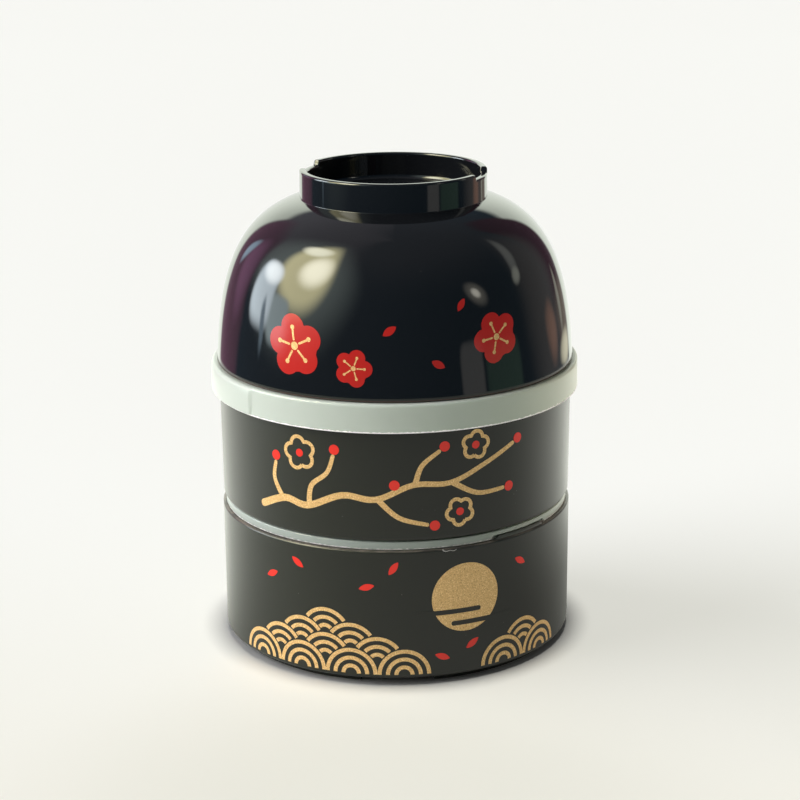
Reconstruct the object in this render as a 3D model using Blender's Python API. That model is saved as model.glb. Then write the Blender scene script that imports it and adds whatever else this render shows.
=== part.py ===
"""A round lunch box in two tiers, closed by a soup bowl turned upside down.

From the table up: a lower tier on a notched foot ring, its plug-in lid, an upper tier that nests
in that lid, a loose divider standing in the upper tier, a snap-over lid with a wide band, and the
bowl, whose rim sits round a ridge on that lid. Every piece lifts straight off along +Z.

Units are metres. The floor is z = 0, the axis of the box is Z, and the front faces -Y.
Azimuths are counted from the front, positive towards +X, in degrees.
"""
import math

import bmesh
import bpy

# How finely turned pieces are drawn
SEGMENTS = 60
ARC_STEP = 30.0

# Clearances between pieces
SEAT_GAP = 0.0003
SLIP_GAP = 0.0003
NEST_GAP = 0.0003

# Walls and floors of the two tiers
TIER_WALL = 0.0017
TIER_FLOOR = 0.0020
FLOOR_FILLET = 0.0030
BOTTOM_EDGE_ROUND = 0.0011
RIM_OUTER_ROUND = 0.0006
RIM_INNER_ROUND = 0.0002

# Rim of the upper tier, the size that the whole stack follows
RIM_RADIUS = 0.0544
UPPER_TIER_HEIGHT = 0.0425
UPPER_DRAFT = 0.0004

# Lower tier, a hair slimmer than the upper one
LOWER_TIER_HEIGHT = 0.0422
LOWER_RIM_INSET = 0.0001
LOWER_DRAFT = 0.0001

# Foot ring under each tier, open at the front and at the back
FOOT_HEIGHT = 0.0020
FOOT_WALL = 0.0024
FOOT_EDGE = 0.0003
FOOT_NOTCH_HEIGHT = 0.0016
FOOT_NOTCH_SWEEP = 25.0

# Key land on the rim of the lower tier, which lets its lid sit one way only
KEY_HEIGHT = 0.0011
KEY_WIDTH = 0.0006
KEY_AZIMUTH = 44.0
KEY_SWEEP = 23.0
KEY_RAMP = 2.0

# Sharpness of the moulded edges of both lids
LID_EDGE = 0.0003

# Lower lid, a soft plug with a flange that shows as a pale seam
LOWER_FLANGE_INSET = 0.0010
LOWER_FLANGE_WIDTH = 0.0018
LOWER_FLANGE_HEIGHT = 0.0024
LOWER_PANEL = 0.0013
LOWER_PLUG_DEPTH = 0.0042
LOWER_PLUG_WALL = 0.0015
LOWER_PANEL_STEP_RADIUS = 0.0380
LOWER_PANEL_STEP = 0.0006

# Upper lid, a snap-over cover with a wide band
BAND_WALL = 0.0018
BAND_DEPTH = 0.0071
BAND_TOP_ROUND = 0.0008
LEDGE_THICKNESS = 0.0013
UPPER_PLUG_DEPTH = 0.0044
UPPER_PLUG_WALL = 0.0015
RIDGE_HEIGHT = 0.0014
RIDGE_WALL = 0.0013
UPPER_PANEL = 0.0014
UPPER_PANEL_DROP = 0.0019
UPPER_PANEL_STEP_RADIUS = 0.0360
UPPER_PANEL_STEP = 0.0007

# Thumb land, where the band stands a little proud
LAND_PROUD = 0.0004
LAND_AZIMUTH = -86.0
LAND_SWEEP = 76.0
LAND_MARGIN = 0.0009

# Bowl, lying on its rim
BOWL_RIM_INSET = 0.0017
BOWL_WALL = 0.0025
BOWL_SHOULDER_HEIGHT = 0.0496
BOWL_SIDE_PULL_UP = 0.0243
BOWL_SIDE_PULL_IN = 0.0013
BOWL_SHOULDER_PULL_OUT = 0.0201
BOWL_SHOULDER_PULL_DOWN = 0.0053
BOWL_CURVE_STEPS = 10
BOWL_DISH_RISE = 0.0002
BOWL_DISH_STEPS = 2

# Foot ring of the bowl, which is on top here. The shoulder runs right up to it.
BOWL_FOOT_RADIUS = 0.0285
BOWL_FOOT_DRAFT = 0.0001
BOWL_FOOT_HEIGHT = 0.0086
BOWL_FOOT_WALL = 0.0021
BOWL_FOOT_ROUND = 0.0007
BOWL_FOOT_FILLET = 0.0016
BOWL_RECESS_RISE = 0.0002
BOWL_NOTCH_DEPTH = 0.0015
BOWL_NOTCH_AZIMUTH = 74.5
BOWL_NOTCH_SWEEP = 31.0
BOWL_NOTCH_SLOPE = 1.5

# Divider, a plate with curved end flanges that follow the wall
DIVIDER_PLATE = 0.0012
DIVIDER_FLANGE_SWEEP = 26.0
DIVIDER_TOP_GAP = 0.0006

# Points nearer than this are one point
MERGE_DISTANCE = 0.000001
# How far a cutter or a joined block reaches past the face that it meets
OVERREACH = 0.0010

# Radii of what fits round, on or in the rims
LOWER_RIM_RADIUS = RIM_RADIUS - LOWER_RIM_INSET
LOWER_FLANGE_RADIUS = LOWER_RIM_RADIUS - LOWER_FLANGE_INSET
FOOT_OUTER_RADIUS = LOWER_FLANGE_RADIUS - LOWER_FLANGE_WIDTH - NEST_GAP
BAND_RADIUS = RIM_RADIUS + SLIP_GAP + BAND_WALL
BOWL_RIM_RADIUS = BAND_RADIUS - BOWL_RIM_INSET

# Heights at which the pieces stand, each worked out from the one below
LOWER_LID_Z = LOWER_TIER_HEIGHT + SEAT_GAP
UPPER_TIER_Z = LOWER_LID_Z + LOWER_FLANGE_HEIGHT - FOOT_HEIGHT + SEAT_GAP
DIVIDER_Z = UPPER_TIER_Z + FOOT_HEIGHT + TIER_FLOOR + SEAT_GAP
UPPER_LID_Z = UPPER_TIER_Z + UPPER_TIER_HEIGHT + SEAT_GAP
BOWL_Z = UPPER_LID_Z + LEDGE_THICKNESS + SEAT_GAP


def clear_scene():
    for thing in list(bpy.data.objects):
        bpy.data.objects.remove(thing, do_unlink=True)


def plastic(name, colour, roughness):
    """A moulded plastic with its own colour and gloss."""
    material = bpy.data.materials.new(name)
    material.use_nodes = True
    shader = material.node_tree.nodes["Principled BSDF"]
    shader.inputs["Base Color"].default_value = (*colour, 1.0)
    shader.inputs["Roughness"].default_value = roughness
    shader.inputs["Metallic"].default_value = 0.0
    material.diffuse_color = (*colour, 1.0)
    return material


def arc(centre_r, centre_z, radius, start, end):
    """Points of a round corner in the (r, z) half plane, from one angle to another in degrees."""
    steps = max(2, round(abs(end - start) / ARC_STEP))
    points = []
    for step in range(steps + 1):
        angle = math.radians(start + (end - start) * step / steps)
        points.append((centre_r + radius * math.cos(angle), centre_z + radius * math.sin(angle)))
    return points


def place(mesh, name, height, material):
    """Make an object of a finished mesh, with its origin on the box's axis at its seat."""
    data = bpy.data.meshes.new(name)
    bmesh.ops.recalc_face_normals(mesh, faces=mesh.faces)
    mesh.to_mesh(data)
    mesh.free()
    data.shade_smooth()
    data.set_sharp_from_angle(angle=math.radians(30))
    thing = bpy.data.objects.new(name, data)
    thing.location = (0.0, 0.0, height)
    bpy.context.scene.collection.objects.link(thing)
    if material:
        data.materials.append(material)
    return thing


def turned(outline):
    """Spin an open outline of (r, z) points, which starts and ends on the axis, into a solid."""
    mesh = bmesh.new()
    points = [mesh.verts.new((r, 0.0, z)) for r, z in outline]
    lines = [mesh.edges.new(pair) for pair in zip(points, points[1:])]
    bmesh.ops.spin(
        mesh, geom=points + lines, axis=(0, 0, 1), cent=(0, 0, 0), dvec=(0, 0, 0),
        angle=math.tau, steps=SEGMENTS, use_merge=True)
    bmesh.ops.remove_doubles(mesh, verts=mesh.verts, dist=MERGE_DISTANCE)
    return mesh


def sector(inner, outer, low, high, azimuth, sweep, ramp=0.0):
    """A curved block of a ring. Its ends slope in by ramp degrees from the bottom to the top."""
    mesh = bmesh.new()
    steps = max(2, round(sweep * SEGMENTS / 360))
    slices = []
    for step in range(steps + 1):
        share = step / steps
        foot = math.radians(azimuth - sweep / 2 + sweep * share - 90)
        head = math.radians(azimuth - sweep / 2 + ramp + (sweep - 2 * ramp) * share - 90)
        corners = [(inner, low, foot), (outer, low, foot), (outer, high, head), (inner, high, head)]
        slices.append([mesh.verts.new((r * math.cos(a), r * math.sin(a), z)) for r, z, a in corners])
    for near, far in zip(slices, slices[1:]):
        for side in range(4):
            after = (side + 1) % 4
            mesh.faces.new((near[side], near[after], far[after], far[side]))
    mesh.faces.new(slices[0])
    mesh.faces.new(reversed(slices[-1]))
    return mesh


def combine(piece, tool_mesh, name, operation):
    """Cut a shape out of a piece, or join one to it. The tool is a hidden child of the piece."""
    tool = place(tool_mesh, name, 0.0, None)
    tool.parent = piece
    tool.hide_render = True
    tool.display_type = "WIRE"
    step = piece.modifiers.new(name, "BOOLEAN")
    step.object = tool
    step.operation = operation
    step.solver = "EXACT"


# The two tiers

def tier_radius(rim_radius, draft, height, z):
    """Outer radius of a tier's drafted wall at a height above its foot."""
    share = (z - FOOT_HEIGHT) / (height - FOOT_HEIGHT)
    return rim_radius - draft * (1 - share)


def tier(name, base, height, rim_radius, draft, material):
    """A cup with a drafted wall, a rounded rim and a foot ring open at front and back."""
    floor = FOOT_HEIGHT + TIER_FLOOR
    foot_inner = FOOT_OUTER_RADIUS - FOOT_WALL
    edge = BOTTOM_EDGE_ROUND
    bottom_radius = rim_radius - draft
    rim_inner = rim_radius - TIER_WALL
    floor_inner = tier_radius(rim_radius, draft, height, floor) - TIER_WALL
    outline = [(0.0, FOOT_HEIGHT), (foot_inner, FOOT_HEIGHT)]
    outline += [(foot_inner, FOOT_EDGE), (foot_inner + FOOT_EDGE, 0.0)]
    outline += [(FOOT_OUTER_RADIUS - FOOT_EDGE, 0.0), (FOOT_OUTER_RADIUS, FOOT_EDGE)]
    outline += [(FOOT_OUTER_RADIUS, FOOT_HEIGHT)]
    outline += arc(bottom_radius - edge, FOOT_HEIGHT + edge, edge, -90, 0)
    outline += arc(rim_radius - RIM_OUTER_ROUND, height - RIM_OUTER_ROUND, RIM_OUTER_ROUND, 0, 90)
    outline += [(rim_inner + RIM_INNER_ROUND, height), (rim_inner, height - RIM_INNER_ROUND)]
    outline += arc(floor_inner - FLOOR_FILLET, floor + FLOOR_FILLET, FLOOR_FILLET, 0, -90)
    outline += [(0.0, floor)]
    cup = place(turned(outline), name, base, material)
    notch_inner = foot_inner - OVERREACH
    notch_outer = FOOT_OUTER_RADIUS + OVERREACH
    for azimuth, side in ((0.0, "front"), (180.0, "back")):
        notch = sector(notch_inner, notch_outer, -OVERREACH, FOOT_NOTCH_HEIGHT, azimuth, FOOT_NOTCH_SWEEP)
        combine(cup, notch, f"{name}_{side}_notch", "DIFFERENCE")
    return cup


def lower_container(material):
    cup = tier("lower_container", 0.0, LOWER_TIER_HEIGHT, LOWER_RIM_RADIUS, LOWER_DRAFT, material)
    key_inner = LOWER_RIM_RADIUS - TIER_WALL + RIM_INNER_ROUND
    key = sector(
        key_inner, key_inner + KEY_WIDTH, LOWER_TIER_HEIGHT - OVERREACH, LOWER_TIER_HEIGHT + KEY_HEIGHT,
        KEY_AZIMUTH, KEY_SWEEP, KEY_RAMP)
    combine(cup, key, "key_land", "UNION")
    return cup


def upper_container(material):
    return tier("upper_container", UPPER_TIER_Z, UPPER_TIER_HEIGHT, RIM_RADIUS, UPPER_DRAFT, material)


# The two lids

def lower_lid(material):
    """A plug with a flange on the rim and a recess that takes the foot ring of the tier above."""
    plug_outer = LOWER_RIM_RADIUS - TIER_WALL - SLIP_GAP
    plug_inner = plug_outer - LOWER_PLUG_WALL
    recess = FOOT_OUTER_RADIUS + NEST_GAP
    panel_top = LOWER_FLANGE_HEIGHT - FOOT_HEIGHT
    panel_low = panel_top - LOWER_PANEL
    step_edge = LOWER_PANEL_STEP_RADIUS + LOWER_PANEL_STEP
    lip = LOWER_PLUG_WALL / 3
    outline = [(0.0, panel_low - LOWER_PANEL_STEP), (LOWER_PANEL_STEP_RADIUS, panel_low - LOWER_PANEL_STEP)]
    outline += [(step_edge, panel_low), (plug_inner, panel_low)]
    outline += [(plug_inner, -LOWER_PLUG_DEPTH), (plug_outer - lip, -LOWER_PLUG_DEPTH)]
    outline += [(plug_outer, lip - LOWER_PLUG_DEPTH), (plug_outer, 0.0)]
    outline += [(LOWER_FLANGE_RADIUS, 0.0)]
    outline += [(LOWER_FLANGE_RADIUS, LOWER_FLANGE_HEIGHT - LID_EDGE)]
    outline += [(LOWER_FLANGE_RADIUS - LID_EDGE, LOWER_FLANGE_HEIGHT)]
    outline += [(recess, LOWER_FLANGE_HEIGHT), (recess, panel_top)]
    outline += [(step_edge, panel_top), (LOWER_PANEL_STEP_RADIUS, panel_top - LOWER_PANEL_STEP)]
    outline += [(0.0, panel_top - LOWER_PANEL_STEP)]
    lid = place(turned(outline), "lower_lid", LOWER_LID_Z, material)
    side_gap = math.degrees(SLIP_GAP / LOWER_RIM_RADIUS)
    relief_inner = LOWER_RIM_RADIUS - TIER_WALL + RIM_INNER_ROUND - SLIP_GAP
    relief = sector(
        relief_inner, LOWER_FLANGE_RADIUS + OVERREACH, -OVERREACH, KEY_HEIGHT,
        KEY_AZIMUTH, KEY_SWEEP + 2 * side_gap + KEY_RAMP, KEY_RAMP)
    combine(lid, relief, "key_relief", "DIFFERENCE")
    return lid


def upper_lid(material):
    """A cover whose channel drops over the rim, with a ridge on top that centres the bowl."""
    plug_outer = RIM_RADIUS - TIER_WALL - SLIP_GAP
    plug_inner = plug_outer - UPPER_PLUG_WALL
    skirt_inner = RIM_RADIUS + SLIP_GAP
    ridge_outer = BOWL_RIM_RADIUS - BOWL_WALL - SLIP_GAP
    ridge_inner = ridge_outer - RIDGE_WALL
    ridge_top = LEDGE_THICKNESS + RIDGE_HEIGHT
    panel_top = LEDGE_THICKNESS - UPPER_PANEL_DROP
    panel_low = panel_top - UPPER_PANEL
    step_edge = UPPER_PANEL_STEP_RADIUS + UPPER_PANEL_STEP
    raised = UPPER_PANEL_STEP
    lip = UPPER_PLUG_WALL / 3
    outline = [(0.0, panel_low + raised), (UPPER_PANEL_STEP_RADIUS, panel_low + raised)]
    outline += [(step_edge, panel_low), (plug_inner, panel_low)]
    outline += [(plug_inner, -UPPER_PLUG_DEPTH), (plug_outer - lip, -UPPER_PLUG_DEPTH)]
    outline += [(plug_outer, lip - UPPER_PLUG_DEPTH), (plug_outer, 0.0)]
    outline += [(skirt_inner, 0.0), (skirt_inner, -BAND_DEPTH)]
    outline += [(BAND_RADIUS - LID_EDGE, -BAND_DEPTH), (BAND_RADIUS, LID_EDGE - BAND_DEPTH)]
    outline += arc(BAND_RADIUS - BAND_TOP_ROUND, LEDGE_THICKNESS - BAND_TOP_ROUND, BAND_TOP_ROUND, 0, 90)
    outline += [(ridge_outer, LEDGE_THICKNESS)]
    outline += arc(ridge_outer - RIDGE_WALL / 2, ridge_top - RIDGE_WALL / 2, RIDGE_WALL / 2, 0, 180)
    outline += [(ridge_inner, panel_top), (step_edge, panel_top)]
    outline += [(UPPER_PANEL_STEP_RADIUS, panel_top + raised), (0.0, panel_top + raised)]
    lid = place(turned(outline), "upper_lid", UPPER_LID_Z, material)
    land_inner = (skirt_inner + BAND_RADIUS) / 2
    land_high = LEDGE_THICKNESS - BAND_TOP_ROUND
    land = sector(
        land_inner, BAND_RADIUS + LAND_PROUD, LAND_MARGIN - BAND_DEPTH, land_high,
        LAND_AZIMUTH, LAND_SWEEP)
    combine(lid, land, "thumb_land", "UNION")
    return lid


# The divider

def divider(material):
    """A plate across the upper tier. Its ends are flanges that follow the wall and keep it upright."""
    floor = FOOT_HEIGHT + TIER_FLOOR
    corner = FLOOR_FILLET + SLIP_GAP
    wall = tier_radius(RIM_RADIUS, UPPER_DRAFT, UPPER_TIER_HEIGHT, floor) - TIER_WALL
    flange_outer = wall - SLIP_GAP
    flange_inner = flange_outer - DIVIDER_PLATE
    half = flange_outer - DIVIDER_PLATE / 2
    plug_inner = RIM_RADIUS - TIER_WALL - SLIP_GAP - UPPER_PLUG_WALL
    half_top = plug_inner - SLIP_GAP
    lid_above = UPPER_LID_Z - DIVIDER_Z
    flange_top = lid_above - UPPER_PLUG_DEPTH - DIVIDER_TOP_GAP
    panel_low = LEDGE_THICKNESS - UPPER_PANEL_DROP - UPPER_PANEL
    top = lid_above + panel_low - DIVIDER_TOP_GAP
    right = arc(half - corner, corner, corner, -90, 0)
    right += [(half, flange_top), (half_top, flange_top), (half_top, top)]
    left = [(-x, z) for x, z in reversed(right)]
    mesh = bmesh.new()
    front = mesh.faces.new([mesh.verts.new((x, -DIVIDER_PLATE / 2, z)) for x, z in right + left])
    grown = bmesh.ops.extrude_face_region(mesh, geom=[front])["geom"]
    back = [item for item in grown if isinstance(item, bmesh.types.BMVert)]
    bmesh.ops.translate(mesh, verts=back, vec=(0.0, DIVIDER_PLATE, 0.0))
    plate = place(mesh, "divider", DIVIDER_Z, material)
    for azimuth, side in ((90.0, "right"), (-90.0, "left")):
        flange = sector(
            flange_inner, flange_outer, corner + SLIP_GAP, flange_top - SLIP_GAP,
            azimuth, DIVIDER_FLANGE_SWEEP)
        combine(plate, flange, f"{side}_flange", "UNION")
    return plate


# The bowl

def bowl_curve(inset):
    """The side and shoulder of the bowl as one cubic curve, moved in by a wall's thickness or not."""
    lip = BOWL_WALL / 2
    p0 = (BOWL_RIM_RADIUS, lip)
    p1 = (BOWL_RIM_RADIUS - BOWL_SIDE_PULL_IN, lip + BOWL_SIDE_PULL_UP)
    p2 = (BOWL_FOOT_RADIUS + BOWL_SHOULDER_PULL_OUT, BOWL_SHOULDER_HEIGHT - BOWL_SHOULDER_PULL_DOWN)
    p3 = (BOWL_FOOT_RADIUS, BOWL_SHOULDER_HEIGHT)
    points = []
    for step in range(BOWL_CURVE_STEPS + 1):
        t = step / BOWL_CURVE_STEPS
        u = 1 - t
        r = u**3 * p0[0] + 3 * u * u * t * p1[0] + 3 * u * t * t * p2[0] + t**3 * p3[0]
        z = u**3 * p0[1] + 3 * u * u * t * p1[1] + 3 * u * t * t * p2[1] + t**3 * p3[1]
        slope_r = u * u * (p1[0] - p0[0]) + 2 * u * t * (p2[0] - p1[0]) + t * t * (p3[0] - p2[0])
        slope_z = u * u * (p1[1] - p0[1]) + 2 * u * t * (p2[1] - p1[1]) + t * t * (p3[1] - p2[1])
        length = math.hypot(slope_r, slope_z)
        points.append((r - inset * slope_z / length, z + inset * slope_r / length))
    return points


def bowl(material):
    """A soup bowl upside down: full round rim, curved wall and a tall foot ring with two notches."""
    lip = BOWL_WALL / 2
    inner = bowl_curve(BOWL_WALL)
    outer = bowl_curve(0.0)
    dish_edge_r, dish_edge_z = inner[-1]
    dish_top = dish_edge_z + BOWL_DISH_RISE
    outline = [(0.0, dish_top)]
    for step in range(1, BOWL_DISH_STEPS):
        share = step / BOWL_DISH_STEPS
        outline.append((dish_edge_r * share, dish_top - BOWL_DISH_RISE * share * share))
    outline += reversed(inner)
    outline += arc(BOWL_RIM_RADIUS - lip, lip, lip, 180, 360)[1:-1]
    outline += outer
    recess = BOWL_SHOULDER_HEIGHT + BOWL_RECESS_RISE
    ring_top = BOWL_SHOULDER_HEIGHT + BOWL_FOOT_HEIGHT
    top_outer = BOWL_FOOT_RADIUS - BOWL_FOOT_DRAFT
    top_inner = top_outer - BOWL_FOOT_WALL
    outline += arc(top_outer - BOWL_FOOT_ROUND, ring_top - BOWL_FOOT_ROUND, BOWL_FOOT_ROUND, 0, 90)
    outline += arc(top_inner + BOWL_FOOT_ROUND, ring_top - BOWL_FOOT_ROUND, BOWL_FOOT_ROUND, 90, 180)
    outline += arc(top_inner - BOWL_FOOT_FILLET, recess + BOWL_FOOT_FILLET, BOWL_FOOT_FILLET, 0, -90)
    outline += [(0.0, recess)]
    shell = place(turned(outline), "bowl", BOWL_Z, material)
    for azimuth, side in ((BOWL_NOTCH_AZIMUTH, "right"), (BOWL_NOTCH_AZIMUTH - 180, "left")):
        notch = sector(
            top_inner - OVERREACH, BOWL_FOOT_RADIUS + OVERREACH, ring_top - BOWL_NOTCH_DEPTH,
            ring_top + OVERREACH, azimuth, BOWL_NOTCH_SWEEP, -BOWL_NOTCH_SLOPE)
        combine(shell, notch, f"bowl_{side}_notch", "DIFFERENCE")
    return shell


def build():
    clear_scene()
    soft_black = plastic("soft_touch_black", (0.028, 0.029, 0.026), 0.55)
    milky_grey = plastic("milky_grey_lid", (0.50, 0.53, 0.49), 0.40)
    milky_white = plastic("milky_white_lid", (0.74, 0.76, 0.72), 0.40)
    gloss_black = plastic("gloss_black", (0.010, 0.012, 0.014), 0.08)
    plain_black = plastic("plain_black", (0.020, 0.021, 0.020), 0.38)
    lower_container(soft_black)
    lower_lid(milky_grey)
    upper_container(soft_black)
    divider(plain_black)
    upper_lid(milky_white)
    bowl(gloss_black)


build()
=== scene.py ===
# %% [markdown]
# # A round lunch box that wears its soup bowl as a cover
#
# The box is a stack of moulded cups and lids: two matt black tiers, a pale lid on each, a loose
# divider, and a glossy black bowl turned over on top. Its joints and sizes come from the packed
# CAD model. This script dresses that model: finer turned shapes, true plastics, printed
# ornament, a camera and soft light. The frame is loaded first, because all the rest hangs on it.

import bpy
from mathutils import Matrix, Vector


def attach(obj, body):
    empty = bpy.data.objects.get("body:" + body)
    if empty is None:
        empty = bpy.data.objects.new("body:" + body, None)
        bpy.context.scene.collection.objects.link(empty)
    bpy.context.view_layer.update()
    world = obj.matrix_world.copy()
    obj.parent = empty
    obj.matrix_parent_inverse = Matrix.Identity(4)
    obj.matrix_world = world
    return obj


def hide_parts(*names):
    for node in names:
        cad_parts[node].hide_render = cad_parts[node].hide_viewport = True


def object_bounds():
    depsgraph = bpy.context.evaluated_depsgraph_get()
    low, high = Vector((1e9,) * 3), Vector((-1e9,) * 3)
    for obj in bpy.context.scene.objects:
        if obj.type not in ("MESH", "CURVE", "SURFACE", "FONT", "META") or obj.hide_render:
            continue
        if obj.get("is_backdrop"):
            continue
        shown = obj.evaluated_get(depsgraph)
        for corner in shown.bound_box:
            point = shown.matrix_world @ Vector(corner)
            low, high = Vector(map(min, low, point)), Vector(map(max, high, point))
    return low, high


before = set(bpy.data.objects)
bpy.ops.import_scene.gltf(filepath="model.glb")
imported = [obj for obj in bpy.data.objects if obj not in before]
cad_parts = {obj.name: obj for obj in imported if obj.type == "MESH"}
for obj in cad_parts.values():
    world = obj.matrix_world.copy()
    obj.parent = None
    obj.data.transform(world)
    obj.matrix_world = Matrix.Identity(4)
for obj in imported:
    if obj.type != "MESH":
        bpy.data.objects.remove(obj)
cad_box = [list(corner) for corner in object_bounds()]
print("nodes:", sorted(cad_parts))

# %% Modules, and the unit of the drawing
import math

import bmesh
import bpy
from mathutils import Matrix, Vector

MM = 0.001
print("unit of the drawings:", MM, "m")

# %% [markdown]
# ## The camera
#
# The photograph was taken with a long lens from a little above the box. A camera can be guessed
# by eye, or solved from circles that are known to be round. This one was solved, and its place,
# its tilt and its slight roll are written down here in plain numbers.

# %% Stand the camera in front of the box
EYE = Vector((0.0, -0.64585, 0.26202))
PITCH = math.radians(16.356)
YAW = math.radians(0.131)
ROLL = math.radians(0.476)
LENS, SENSOR = 97.146, 36.0
SEEN_FROM, SEEN_TO = 0.01, 20.0

aim = Vector((math.sin(YAW) * math.cos(PITCH), math.cos(YAW) * math.cos(PITCH), -math.sin(PITCH)))
level = Vector((math.cos(YAW), -math.sin(YAW), 0.0))
above = level.cross(aim)
right = level * math.cos(ROLL) - above * math.sin(ROLL)
up = level * math.sin(ROLL) + above * math.cos(ROLL)
camera = bpy.data.objects.new("camera", bpy.data.cameras.new("camera"))
camera.data.lens = LENS
camera.data.sensor_width = SENSOR
camera.data.clip_start, camera.data.clip_end = SEEN_FROM, SEEN_TO
camera.matrix_world = Matrix.Translation(EYE) @ Matrix((right, up, -aim)).transposed().to_4x4()
bpy.context.scene.collection.objects.link(camera)
bpy.context.scene.camera = camera
bpy.context.scene.view_settings.view_transform = "Standard"
print("camera looks down by", round(math.degrees(PITCH), 1), "degrees")

# %% [markdown]
# ## Writing materials as sums
#
# A finish is a small calculation: a base colour, plus a little mottling, less some gloss where
# hands have rubbed it. Nodes can be wired by hand, or written as Python sums. Here one class wraps
# a socket so that + - * / add Math nodes, and one method makes every other node.

# %% A socket that understands arithmetic
class Value:
    def __init__(self, finish, socket):
        self.finish = finish
        self.socket = socket

    def maths(self, operation, first, second=0.0):
        return self.finish.node("ShaderNodeMath", {"operation": operation}, {0: first, 1: second})

    def __add__(self, other):
        return self.maths("ADD", self, other)

    __radd__ = __add__

    def __sub__(self, other):
        return self.maths("SUBTRACT", self, other)

    def __rsub__(self, other):
        return self.maths("SUBTRACT", other, self)

    def __mul__(self, other):
        return self.maths("MULTIPLY", self, other)

    __rmul__ = __mul__

    def __truediv__(self, other):
        return self.maths("DIVIDE", self, other)

    def __rtruediv__(self, other):
        return self.maths("DIVIDE", other, self)

    def __pow__(self, other):
        return self.maths("POWER", self, other)

    def __abs__(self):
        return self.maths("ABSOLUTE", self)

    def larger(self, other):
        return self.maths("MAXIMUM", self, other)


# %% A finish, which is a material being written
class Finish:
    def __init__(self, owner):
        owner.use_nodes = True
        self.name = owner.name
        self.tree = owner.node_tree
        self.tree.nodes.clear()
        of_world = isinstance(owner, bpy.types.World)
        self.output = self.tree.nodes.new(
            "ShaderNodeOutputWorld" if of_world else "ShaderNodeOutputMaterial")

    def node(self, kind, settings=None, inputs=None, output=0):
        made = self.tree.nodes.new(kind)
        for name, value in (settings or {}).items():
            setattr(made, name, value)
        for name, value in (inputs or {}).items():
            if isinstance(value, Value):
                self.tree.links.new(value.socket, made.inputs[name])
            else:
                made.inputs[name].default_value = value
        return Value(self, made.outputs[output])

    def place(self):
        return self.node("ShaderNodeTexCoord", output="Object")

    def along(self, axis):
        return self.node("ShaderNodeSeparateXYZ", inputs={0: self.place()}, output=axis)

    def noise(self, size, detail, stretch=(1.0, 1.0, 1.0)):
        """Cloudy patches of a size in millimetres, about 0.5 in the middle."""
        spot = self.node("ShaderNodeMapping", inputs={"Vector": self.place(), "Scale": stretch})
        return self.node(
            "ShaderNodeTexNoise", output="Fac",
            inputs={"Vector": spot, "Scale": 1 / (size * MM), "Detail": detail})

    def between(self, value, low, high):
        """0 where value is at low, 1 where it is at high."""
        return self.node(
            "ShaderNodeMapRange", {"interpolation_type": "SMOOTHSTEP"},
            {"Value": value, "From Min": low, "From Max": high}, "Result")

    def band(self, height, rise_from, rise_to, fall_from, fall_to):
        """1 in a band of heights in millimetres, 0 outside, with soft edges."""
        rise = self.between(height, rise_from * MM, rise_to * MM)
        return rise * (1 - self.between(height, fall_from * MM, fall_to * MM))

    def mix(self, share, first, second):
        return self.node(
            "ShaderNodeMix", {"data_type": "RGBA"}, {0: share, 6: first, 7: second}, 2)

    def bump(self, height, strength, depth):
        return self.node(
            "ShaderNodeBump",
            inputs={"Height": height, "Strength": strength, "Distance": depth * MM})

    def surface(self, **sockets):
        inputs = {name.replace("_", " "): value for name, value in sockets.items()}
        self.show(self.node("ShaderNodeBsdfPrincipled", inputs=inputs))

    def show(self, shader):
        self.tree.links.new(shader.socket, self.output.inputs["Surface"])
        print(f"{self.name}: {len(self.tree.nodes)} nodes")


# %% New finishes, colours and lengths
def new_finish(name):
    """A new material, and the finish that writes it."""
    material = bpy.data.materials.new(name)
    return material, Finish(material)


def colour(red, green, blue):
    return (red, green, blue, 1.0)


def length_of(across, ahead):
    """How long a level way is, from its two parts."""
    return (across * across + ahead * ahead) ** 0.5


print("an opaque mid grey is", colour(0.5, 0.5, 0.5))

# %% [markdown]
# ## Turned shapes
#
# Every piece here but the divider is a body of revolution, as its mould was cut on a lathe. Such
# a shape could be lathed with the Screw modifier, or spun with bmesh. Spinning is chosen because
# the spin can be done in stages: coarse where the ring is plain, and fine where a notch or a land
# begins, so the same rings can then be pushed up, down or out to make that notch or land.
# All drawings are in millimetres: a list of (radius, height) points from the axis to the axis.

# %% Arcs of a drawing, and the points beside its long straights
ARC_STEPS = 6
LONG = 3.0
SUPPORT = 0.12


def arc(centre, radius, start, end, steps=ARC_STEPS):
    """A round corner, from one angle to another in degrees."""
    turn = [math.radians(start + (end - start) * step / steps) for step in range(steps + 1)]
    return [(centre[0] + radius * math.cos(a), centre[1] + radius * math.sin(a)) for a in turn]


def supported(outline):
    """Points close to both ends of each long straight, which keep its shading flat."""
    points = [outline[0]]
    for (r0, z0), (r1, z1) in zip(outline, outline[1:]):
        length = math.hypot(r1 - r0, z1 - z0)
        if length > LONG:
            for share in (SUPPORT / length, 1 - SUPPORT / length):
                points.append((r0 + (r1 - r0) * share, z0 + (z1 - z0) * share))
        points.append((r1, z1))
    return points


print("a quarter arc has", len(arc((0.0, 0.0), 1.0, 0, 90)), "points")

# %% Spin a drawing, ring by ring
RING_STEP = 1.5
MERGE = 0.002


def spun(mesh, drawing, degrees, steps, closed=False):
    """Spin part of a mesh round the box's axis, and give back its last ring."""
    return bmesh.ops.spin(
        mesh, geom=drawing, cent=(0, 0, 0), axis=(0, 0, 1), dvec=(0, 0, 0), use_merge=closed,
        angle=math.radians(degrees), steps=steps)["geom_last"]


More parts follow.
